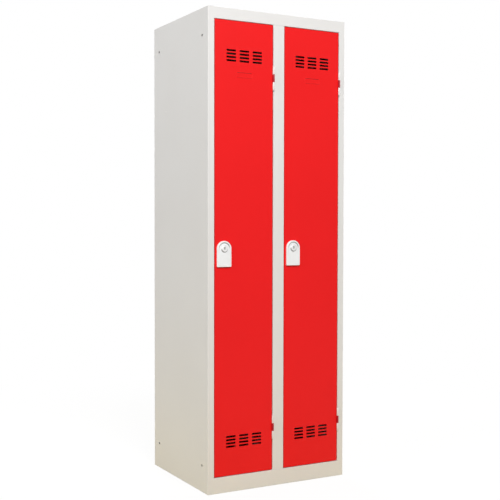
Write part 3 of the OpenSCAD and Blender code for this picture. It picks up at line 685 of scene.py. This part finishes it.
for bay in ("left", "right"):
    low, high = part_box(bay + "_door_pan")
    face = high.y - DOOR_DEPTH
    pan = bmesh.new()
    loops = []
    for inset, depth in pan_sections():
        corner = max(DOOR_CORNER - inset, DOOR_LEAST_CORNER)
        loops.append(upright(outline(
            (low.x + inset, low.z + inset), (high.x - inset, high.z - inset), corner),
            face + depth))
    edge_loops = skin(pan, loops)
    front_loops = [edge_loops[0]]
    inside_loops = [edge_loops[-1]]
    middle_x = (low.x + high.x) / 2
    for start_z, inward in ((low.z + SLOT_EDGE, 1), (high.z - SLOT_EDGE, -1)):
        for column in range(SLOT_COLUMNS):
            for row in range(SLOT_ROWS):
                x = middle_x + (column - (SLOT_COLUMNS - 1) / 2) * SLOT_COLUMN_PITCH
                z = start_z + inward * row * SLOT_ROW_PITCH
                slot = skin(pan, [
                    upright(outline(
                        (x - SLOT_HALF[0] - grow, z - SLOT_HALF[1] - grow),
                        (x + SLOT_HALF[0] + grow, z + SLOT_HALF[1] + grow),
                        SLOT_CORNER + grow, steps=3), face + depth)
                    for grow, depth in SLOT_SECTIONS
                ])
                front_loops.append(slot[0])
                inside_loops.append(slot[-1])
    lock = Vector((low.x + LOCK_FROM_EDGE, face, low.z + LOCK_RISE))
    holes = [(0, 0, BARREL_HOLE)] + [spot + (SCREW_HOLE,) for spot in SCREW_PLACES]
    for x, z, radius in holes:
        hole = skin(pan, [
            [lock + Vector((x + point.x, depth, z + point.y))
             for point in ring(radius, 0, HOLE_STEPS)]
            for depth in (0, DOOR_SHEET)
        ])
        front_loops.append(hole[0])
        inside_loops.append(hole[-1])
    label_z = high.z - LABEL_DROP
    rim = skin(pan, [
        upright(outline(
            (middle_x - LABEL_HALF[0] + inset, label_z - LABEL_HALF[1] + inset),
            (middle_x + LABEL_HALF[0] - inset, label_z + LABEL_HALF[1] - inset),
            2 * LABEL_RIM - inset, steps=5), face - LABEL_RAISE * sin(pi * inset / LABEL_RIM) ** 2)
        for inset in [LABEL_RIM * i / LABEL_STEPS for i in range(LABEL_STEPS + 1)]
    ])
    front_loops.append(rim[0])
    fill(pan, front_loops)
    fill(pan, [rim[-1]])
    fill(pan, inside_loops)
    # The coat has painted shade in the creases under the card frame's rims.
    door_coat = crease_shaded_coat(bay + "_red_powder_coat", (middle_x, face, label_z))
    door = piece(bay + "_pressed_door", pan, door_coat, bay + "_door",
                 [bay + "_door_pan"])
    flat_shaded(door)
dress(("left_door_stiffener", "right_door_stiffener"), red_coat("red_powder_coat"))


# Each door hangs on two hinges. Two knuckles of each are welded to the frame and painted with it,
# the one between them is welded to the door, and a zinc-plated pin with a domed head joins them.
KNUCKLE_RADIUS = 0.0038
KNUCKLE_BORE = 0.00205
KNUCKLE_END = 0.0004
KNUCKLE_LENGTH = 0.030
KNUCKLE_STEPS = 44
BORE_STEPS = 24
DOOR_GAP = 0.002
LUG_THICK = 0.0012
LEAF_THICK = 0.0015
# The seam of the rolled sheet runs down each knuckle as a notch, at this angle round the pin.
SEAM_DEPTH = 0.0005
SEAM_DEGREES = 5
SEAM_AT = 205
NECK_FILLET = 0.0005
PIN_RADIUS = 0.002
# Points of the foot, by how far they are drawn in and their height.
PIN_FOOT = ((0.0005, 0), (0.0001, 0.0003), (0, 0.0008))
# Points of the head, as their radius and their depth under its top.
PIN_HEAD = ((0.0030, 0.0010), (0.0029, 0.0007), (0.0024, 0.0003), (0.0014, 0.0001))
PIN_STEPS = 32
LEAF_RED = (0.38, 0.012, 0.022, 1)
LEAF_RED_DEEP = (0.34, 0.010, 0.019, 1)
leaf_coat = powder_coat(
    "dark_red_powder_coat", LEAF_RED, LEAF_RED_DEEP, peel=0.20, gloss=0.34, shine=0.2,
)


def knuckle_outline(neck, neck_end, drawn_in):
    """A rolled knuckle with its neck, seen from above, about the pin. Neck is the neck's low and
    high x, and neck_end its far y."""
    radius = KNUCKLE_RADIUS - drawn_in
    left = (neck[0], (radius ** 2 - neck[0] ** 2) ** 0.5)
    right = (neck[1], (radius ** 2 - neck[1] ** 2) ** 0.5)
    turn_left = atan2(left[1] + NECK_FILLET, left[0] - NECK_FILLET)
    turn_right = atan2(right[1] + NECK_FILLET, right[0] + NECK_FILLET)
    points = [(neck[1], neck_end), (neck[0], neck_end), (neck[0], left[1] + NECK_FILLET)]
    first = turn_left + NECK_FILLET / radius
    last = turn_right + 2 * pi - NECK_FILLET / radius
    for i in range(KNUCKLE_STEPS + 1):
        turn = first + (last - first) * i / KNUCKLE_STEPS
        from_seam = abs((turn * 180 / pi) - SEAM_AT)
        notch = SEAM_DEPTH * max(0, 1 - from_seam / SEAM_DEGREES)
        points.append(((radius - notch) * cos(turn), (radius - notch) * sin(turn)))
    points.append((neck[1], right[1] + NECK_FILLET))
    return points


def rolled_knuckle(mesh, axis, low_z, high_z, neck, neck_end):
    """One knuckle about the pin's axis, from low_z to high_z, with softened ends."""
    part_way = MID_BEND * KNUCKLE_END
    levels = ((low_z, KNUCKLE_END), (low_z + part_way, part_way), (low_z + KNUCKLE_END, 0),
              (high_z - KNUCKLE_END, 0), (high_z - part_way, part_way), (high_z, KNUCKLE_END))
    outer = skin(mesh, [
        [Vector((axis.x + x, axis.y + y, z))
         for x, y in knuckle_outline(neck, neck_end, drawn_in)]
        for z, drawn_in in levels
    ])
    bore = skin(mesh, [
        [Vector((axis.x, axis.y, z)) + point for point in ring(KNUCKLE_BORE, 0, BORE_STEPS)]
        for z in (low_z, high_z)
    ])
    for end in (0, -1):
        fill(mesh, [outer[end], bore[end]])


for bay in ("left", "right"):
    for place_name in ("upper", "lower"):
        hinge = bay + "_" + place_name + "_hinge"
        lug_low, lug_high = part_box(hinge + "_frame_lugs")
        leaf_low, leaf_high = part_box(hinge + "_door_leaf")
        axis = Vector((leaf_low.x + KNUCKLE_RADIUS, leaf_low.y + KNUCKLE_RADIUS, 0))
        frame_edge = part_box(bay + "_door_pan")[1].x + DOOR_GAP - axis.x
        lugs = bmesh.new()
        for low_z in (lug_low.z, lug_high.z - KNUCKLE_LENGTH):
            high_z = low_z + KNUCKLE_LENGTH
            neck = (frame_edge - LUG_THICK, frame_edge)
            rolled_knuckle(lugs, axis, low_z, high_z, neck, lug_high.y - axis.y)
        piece(hinge + "_rolled_lugs", lugs, carcass_paint, "carcass",
              [hinge + "_frame_lugs"])
        door_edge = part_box(bay + "_door_pan")[1].x - axis.x
        leaf = bmesh.new()
        neck = (door_edge, door_edge + LEAF_THICK)
        rolled_knuckle(leaf, axis, leaf_low.z, leaf_high.z, neck, leaf_high.y - axis.y)
        piece(hinge + "_rolled_leaf", leaf, leaf_coat, bay + "_door",
              [hinge + "_door_leaf"])
        pin_low, pin_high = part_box(hinge + "_pin")
        pin = bmesh.new()
        length = pin_high.z - pin_low.z
        profile = [(TIP, 0)] + [(PIN_RADIUS - drawn_in, up) for drawn_in, up in PIN_FOOT]
        profile += [(PIN_RADIUS, length - PIN_HEAD[0][1])]
        profile += [(out, length - down) for out, down in PIN_HEAD] + [(TIP, length)]
        lathe(pin, profile, Matrix.Translation((axis.x, axis.y, pin_low.z)), PIN_STEPS)
        piece(hinge + "_domed_pin", pin, zinc_plate, "carcass", [hinge + "_pin"])


# The lock plate is one white moulding that is screwed on from inside the door. It is also the
# handle: fingers go up into the hollow behind its foot. Its front is dished under the arch, round
# the lock.
PLATE_HALF = 0.029
PLATE_FOOT = 0.0675
PLATE_PROUD = 0.008
PLATE_EDGE = 0.0019
PLATE_CORNER = 0.0034
PLATE_LEAST_CORNER = 0.0004
PLATE_RIM = 0.0065
PLATE_DISH = 0.003
PLATE_DISH_FOOT = 0.022
PLATE_STEP = 0.0032
DISH_CLEAR = 0.0001
SEAT_RADIUS = 0.01405
SEAT_DEPTH = 0.003
SEAT_EDGE = 0.0003
SEAT_RIM = 0.002
HOLLOW_HALF = 0.0268
HOLLOW_TOP = 0.0335
HOLLOW_DEPTH = 0.0058
HOLLOW_CORNER = 0.003
HOLLOW_ROUND = 0.0012
HOLLOW_OVER = 0.001
SIDE_STEPS, CORNER_STEPS, FOOT_STEPS, ARCH_STEPS = 13, 6, 6, 44
BEND_STEPS = 6
# Stands in for nought where a length is divided by it.
LEVEL = 1e-9
PLATE_WHITE = (0.84, 0.86, 0.88, 1)
PLATE_WHITE_DEEP = (0.80, 0.82, 0.835, 1)
PLATE_ROUGHNESS = 0.30
FLOW_ROUGHNESS = 0.08
SPARK_ROUGHNESS = 0.06
# Painted shade: grey on the slope of the step under the arch, darker higher up, where the rim shades
# the dish.
STEP_SHADE_GREY = (0.16, 0.155, 0.15, 1)
STEP_SHADE_SHARE = 0.75
STEP_SHADE_IN, STEP_SHADE_OUT = 0.001, 0.0006
# The painted shade starts at the first of these heights over the lock's axis, and is full at the
# second.
STEP_SHADE_RISE = (-0.004, 0.014)


def out_of_door(x, y, z):
    """A local frame at a point of the door, with X to the right, Y up and Z straight out."""
    return Matrix.Translation((x, y, z)) @ Matrix.Rotation(pi / 2, 4, "X")


def from_axis(start, place, axis):
    """How far a point lies from a lock's axis, and how far above it."""
    offset = start.node("VectorMath", {"operation": "SUBTRACT"}, {0: place, 1: axis})
    flat = start.node("VectorMath", {"operation": "MULTIPLY"}, {0: offset, 1: (1, 0, 1)})
    reach = start.node("VectorMath", {"operation": "LENGTH"}, {0: flat}, output="Value")
    return reach, offset.part("Z")


def white_plastic(name, axis):
    """White moulded plastic, with painted shade in grey on the slope of the step under the arch."""
    material, shader, start, place = finish(name)
    spark = start.noise(place, scale=950, detail=2.0, roughness=0.5)
    flow = start.noise(place, scale=26, detail=2.0, roughness=0.5)
    reach, height = from_axis(start, place, axis)
    slope_out = PLATE_HALF - PLATE_RIM + PLATE_STEP / 2
    slope_in = slope_out - PLATE_STEP
    inside = 1 - reach.ramp(slope_out - STEP_SHADE_OUT, slope_out)
    on_slope = reach.ramp(slope_in - STEP_SHADE_IN, slope_in) * inside
    # Painted shade on the step's slope, growing towards the top of the arch.
    step_shade = STEP_SHADE_SHARE * on_slope * height.ramp(*STEP_SHADE_RISE)
    plain = flow.ramp(0.3, 0.8).mix(PLATE_WHITE, PLATE_WHITE_DEEP)
    feed(
        shader,
        Base_Color=step_shade.mix(plain, STEP_SHADE_GREY),
        Roughness=PLATE_ROUGHNESS + FLOW_ROUGHNESS * flow + SPARK_ROUGHNESS * spark,
        Normal=start.bump(spark, strength=0.08, distance=0.0002),
    )
    return material


def plate_reach(turn, inset):
    """From the lock's axis to the plate's outline, drawn in by inset, at an angle from level."""
    half = PLATE_HALF - inset
    foot = PLATE_FOOT - inset
    across, down = abs(cos(turn)), -sin(turn)
    if down <= 0:
        return half
    corner = max(PLATE_CORNER - inset, PLATE_LEAST_CORNER)
    reach = min(half / max(across, LEVEL), foot / down)
    hub = (half - corner, foot - corner)
    if across * reach > hub[0] and down * reach > hub[1]:
        middle = across * hub[0] + down * hub[1]
        reach = middle + (corner ** 2 - hub[0] ** 2 - hub[1] ** 2 + middle ** 2) ** 0.5
    return reach


def plate_turns():
    """Angles round the lock's axis, close together where the plate's outline bends."""
    hub = (PLATE_HALF - PLATE_CORNER, PLATE_CORNER - PLATE_FOOT)
    right_side = [(PLATE_HALF, hub[1] * i / SIDE_STEPS) for i in range(1, SIDE_STEPS + 1)]
    corner = arc(hub, PLATE_CORNER, 0, -90, CORNER_STEPS)[1:]
    foot = [(hub[0] * (1 - i / FOOT_STEPS), -PLATE_FOOT) for i in range(1, FOOT_STEPS + 1)]
    lower = [atan2(z, x) for x, z in right_side + corner + foot]
    mirrored_lower = [-pi - turn for turn in reversed(lower[:-1])]
    upper = [-pi - pi * i / ARCH_STEPS for i in range(ARCH_STEPS)]
    return [0.0] + lower + mirrored_lower + upper


def plate_loop(reach_of, height_of):
    """A line round the lock's axis, from its reach at each angle and its height over the door."""
    points = []
    for turn in plate_turns():
        reach = reach_of(turn)
        z = reach * sin(turn)
        points.append(Vector((reach * cos(turn), z, height_of(z))))
    return points


def dish(z):
    """How deep the panel lies under the rim, at a height over the lock's axis."""
    return PLATE_DISH * max(0, z + PLATE_DISH_FOOT) / (PLATE_HALF - PLATE_RIM + PLATE_DISH_FOOT)


def dish_end(turn):
    """How far the dish reaches at an angle, as it fades out below the lock."""
    limit = plate_reach(turn, PLATE_RIM + PLATE_STEP) - DISH_CLEAR
    return min(max(PLATE_DISH_FOOT / max(-sin(turn), LEVEL), SEAT_RADIUS + SEAT_RIM), limit)


for bay in ("left", "right"):
    low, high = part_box(bay + "_lock_plate")
    at_lock = out_of_door(low.x + PLATE_HALF, high.y, low.z + PLATE_FOOT)
    loops = [plate_loop(lambda turn: plate_reach(turn, 0), lambda z: 0)]
    for i in range(BEND_STEPS + 1):
        bend = radians(90 * i / BEND_STEPS)
        inset = PLATE_EDGE * (1 - cos(bend))
        rise = PLATE_PROUD - PLATE_EDGE * (1 - sin(bend))
        loops.append(plate_loop(lambda turn: plate_reach(turn, inset), lambda z: rise))
    for i in range(BEND_STEPS + 1):
        share = i / BEND_STEPS
        inset = PLATE_RIM - PLATE_STEP / 2 + PLATE_STEP * share
        sunk = share * share * (3 - 2 * share)
        loops.append(plate_loop(
            lambda turn: plate_reach(turn, inset), lambda z: PLATE_PROUD - sunk * dish(z)))
    loops.append(plate_loop(dish_end, lambda z: PLATE_PROUD - dish(z)))
    for reach in (SEAT_RADIUS + 4 * SEAT_EDGE, SEAT_RADIUS + SEAT_EDGE):
        loops.append(plate_loop(lambda turn: reach, lambda z: PLATE_PROUD - dish(z)))
    loops.append(plate_loop(
        lambda turn: SEAT_RADIUS, lambda z: PLATE_PROUD - dish(z) - SEAT_EDGE))
    loops.append(plate_loop(lambda turn: SEAT_RADIUS, lambda z: PLATE_PROUD - SEAT_DEPTH))
    loops.append(plate_loop(lambda turn: BARREL_HOLE, lambda z: PLATE_PROUD - SEAT_DEPTH))
    loops.append(plate_loop(lambda turn: BARREL_HOLE, lambda z: 0))
    moulding = bmesh.new()
    skin(moulding, [[at_lock @ point for point in loop] for loop in loops], closed=True)
    hollow = bmesh.new()
    ends = []
    for depth in (-HOLLOW_OVER, HOLLOW_DEPTH - HOLLOW_ROUND, HOLLOW_DEPTH - HOLLOW_ROUND / 3,
                  HOLLOW_DEPTH):
        shrink = max(0, depth - HOLLOW_DEPTH + HOLLOW_ROUND) ** 2 / HOLLOW_ROUND
        ends.append([
            at_lock @ Vector((x, z, depth))
            for x, z in outline((shrink - HOLLOW_HALF, -PLATE_FOOT - 2 * HOLLOW_CORNER),
                                (HOLLOW_HALF - shrink, -HOLLOW_TOP - shrink),
                                HOLLOW_CORNER, steps=6)
        ])
    hollow_ends = skin(hollow, ends)
    hollow.faces.new(hollow_ends[0])
    hollow.faces.new(hollow_ends[-1])
    plastic = white_plastic(bay + "_white_moulded_plastic", at_lock.translation)
    plate = piece(bay + "_moulded_lock_plate", moulding, plastic, bay + "_door",
                  [bay + "_lock_plate"], cuts=[hollow])
    flat_shaded(plate)
dress(("left_plate_screws", "right_plate_screws", "left_lock_nut", "right_lock_nut"), zinc_plate)


# The cylinder lock's housing is a zinc casting, nickel-plated to a satin: a coned round front let
# into the plate, and a threaded barrel that goes through the door to its nut.
BOSS_RADIUS = 0.014
BOSS_TOP = 0.011
BOSS_ROLL = 0.0005
CONE_ROUND = 0.0001
PLUG_BORE = 0.00805
BORE_CHAMFER = 0.0003
PLUG_SHOULDER = 0.0144
SPIGOT_BORE = 0.00505
BARREL_RADIUS = 0.0095
BARREL_PLAIN = 0.0045
BARREL_CHAMFER = 0.0005
THREAD_PITCH = 0.001
THREAD_DEPTH = 0.0003
# Points of one turn of the thread: how deep it is cut, and how far along the barrel.
THREAD_POINTS = ((0, 0.0002), (THREAD_DEPTH, 0.0005), (0, 0.0008))
TURNED_STEPS = 64
LOCK_METAL = (0.80, 0.81, 0.82, 1)
LOCK_BARE = 0.25
# Painted shade on the ring's bevel under the key, where the bevel faces down.
BEVEL_SHADE_SHARE = 0.6
# The bevel has painted shade below the first of these heights over the lock's axis, and none above
# the other.
BEVEL_SHADE_RISE = (-0.009, 0.004)
BEVEL_SHADE_EDGE = 0.0008


def satin_nickel(name, metal_shade):
    """Nickel plating of a satin finish, under a clear lacquer, with shade painted where the last
    argument says.
    """
    return brushed_metal(
        name, LOCK_METAL, rough=0.30, spread=0.10, streaks=(900, 900, 900), streak_depth=0.08,
        bare=LOCK_BARE, metal_shade=metal_shade,
    )


def shaded_lower_bevel(axis):
    """Where shade is painted on a lock's ring: on its bevel, mostly below the key, where it faces
    down.
    """
    def metal_shade(start, place):
        reach, height = from_axis(start, place, axis)
        below = 1 - height.ramp(*BEVEL_SHADE_RISE)
        return BEVEL_SHADE_SHARE * below * reach.ramp(BOSS_TOP - BEVEL_SHADE_EDGE, BOSS_TOP)
    return metal_shade


for bay in ("left", "right"):
    low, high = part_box(bay + "_lock_housing")
    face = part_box(bay + "_lock_plate")[1].y
    at_lock = out_of_door((low.x + high.x) / 2, face, (low.z + high.z) / 2)
    top = face - low.y
    rear = face - high.y
    cone_foot = top - (BOSS_RADIUS - BOSS_TOP)
    seat = PLATE_PROUD - SEAT_DEPTH
    thread_top = -DOOR_SHEET - BARREL_PLAIN
    profile = [(PLUG_BORE, top - BORE_CHAMFER), (PLUG_BORE + BORE_CHAMFER, top)]
    profile += [(BOSS_TOP - BOSS_ROLL + BOSS_ROLL * sin(t), top - BOSS_ROLL + BOSS_ROLL * cos(t))
                for t in (0, radians(15), radians(30), radians(45))]
    profile += [(BOSS_RADIUS - CONE_ROUND, cone_foot + CONE_ROUND),
                (BOSS_RADIUS, cone_foot - 2 * CONE_ROUND), (BOSS_RADIUS, seat),
                (BARREL_RADIUS, seat), (BARREL_RADIUS, thread_top)]
    for i in range(int((thread_top - rear) / THREAD_PITCH) - 1):
        profile += [(BARREL_RADIUS - cut, thread_top - i * THREAD_PITCH - down)
                    for cut, down in THREAD_POINTS]
    profile += [(BARREL_RADIUS, rear + BARREL_CHAMFER), (BARREL_RADIUS - BARREL_CHAMFER, rear),
                (SPIGOT_BORE, rear), (SPIGOT_BORE, -PLUG_SHOULDER), (PLUG_BORE, -PLUG_SHOULDER)]
    housing = bmesh.new()
    skin(housing, [
        [at_lock @ point for point in ring(radius, height, TURNED_STEPS)]
        for radius, height in profile
    ], closed=True)
    # The ring's metal carries painted shade on its lower bevel.
    ring_metal = satin_nickel(bay + "_satin_nickel_ring", shaded_lower_bevel(at_lock.translation))
    piece(bay + "_turned_lock_housing", housing, ring_metal, bay + "_door",
          [bay + "_lock_housing"])


# The plug turns in the housing with the key. Its slot stands upright while the lock is open. Behind
# the door it carries the steel cam on a square tenon, held by a screw.
PLUG_RADIUS = 0.008
PLUG_LENGTH = 0.014
# Points of the front, as a share of its radius and their depth. Its middle is a little sunk.
PLUG_FACE = ((0.55, 0.00015), (0.9375, 0), (0.975, 0.0001), (1, 0.0004))
PLUG_SUNK = 0.00025
SPIGOT_RADIUS = 0.005
TENON_HALF = 0.0032
TENON_CORNER = 0.0003
CAM_FRONT = 0.0216
CAM_THICK = 0.002
TENON_SHORT = 0.0002
KEY_SLOT_HALF = (0.0016, 0.0046)
KEY_SLOT_RISE = 0.0018
KEY_SLOT_DEPTH = 0.009
KEY_SLOT_CORNER = 0.0006
KEY_SLOT_BEVEL = 0.0004
# Sections of the key slot: how deep they lie, and how much wider it is there.
KEY_SLOT_SECTIONS = ((-0.001, KEY_SLOT_BEVEL), (0.00005, KEY_SLOT_BEVEL), (0.0005, 0),
                     (KEY_SLOT_DEPTH, 0))
# Painted shade in the key slot begins this deep behind the plug's front, and is full at the second
# depth.
KEYWAY_SHADE_FROM = 0.00032
KEYWAY_SHADE_AT = 0.0008
plug_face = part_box("left_lock_plug")[0].y


def keyway_shade(start, place):
    """Painted shade on the plug: inside its key slot, behind the bevel, where the slot lies in
    shade.
    """
    return place.part("Y").ramp(plug_face + KEYWAY_SHADE_FROM, plug_face + KEYWAY_SHADE_AT)


keyway_metal = satin_nickel("satin_nickel_plug", keyway_shade)
for bay in ("left", "right"):
    low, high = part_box(bay + "_lock_plug")
    door_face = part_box(bay + "_lock_plate")[1].y
    at_lock = out_of_door((low.x + high.x) / 2, door_face, (low.z + high.z) / 2)
    top = door_face - low.y
    plug = bmesh.new()
    profile = [(TIP / 2, top - PLUG_SUNK)]
    profile += [(PLUG_RADIUS * out, top - down) for out, down in PLUG_FACE]
    profile += [(PLUG_RADIUS, -PLUG_LENGTH), (SPIGOT_RADIUS, -PLUG_LENGTH),
                (SPIGOT_RADIUS, -CAM_FRONT), (TIP / 2, -CAM_FRONT)]
    lathe(plug, profile, at_lock, TURNED_STEPS)
    tenon = skin(plug, [
        [at_lock @ Vector((x, z, depth))
         for x, z in outline((-TENON_HALF, -TENON_HALF), (TENON_HALF, TENON_HALF),
                             TENON_CORNER, steps=2)]
        for depth in (-CAM_FRONT, TENON_SHORT - CAM_FRONT - CAM_THICK)
    ])
    plug.faces.new(tenon[0])
    plug.faces.new(tenon[-1])
    slot = bmesh.new()
    walls = skin(slot, [
        [at_lock @ Vector((x, z + KEY_SLOT_RISE, top - depth))
         for x, z in outline((-KEY_SLOT_HALF[0] - grow, -KEY_SLOT_HALF[1] - grow),
                             (KEY_SLOT_HALF[0] + grow, KEY_SLOT_HALF[1] + grow),
                             KEY_SLOT_CORNER + grow)]
        for depth, grow in KEY_SLOT_SECTIONS
    ])
    slot.faces.new(walls[0])
    slot.faces.new(walls[-1])
    piece(bay + "_turned_lock_plug", plug, keyway_metal, bay + "_lock",
          [bay + "_lock_plug"], cuts=[slot])
dress(("left_lock_cam", "right_lock_cam", "left_cam_screw", "right_cam_screw"), zinc_plate)
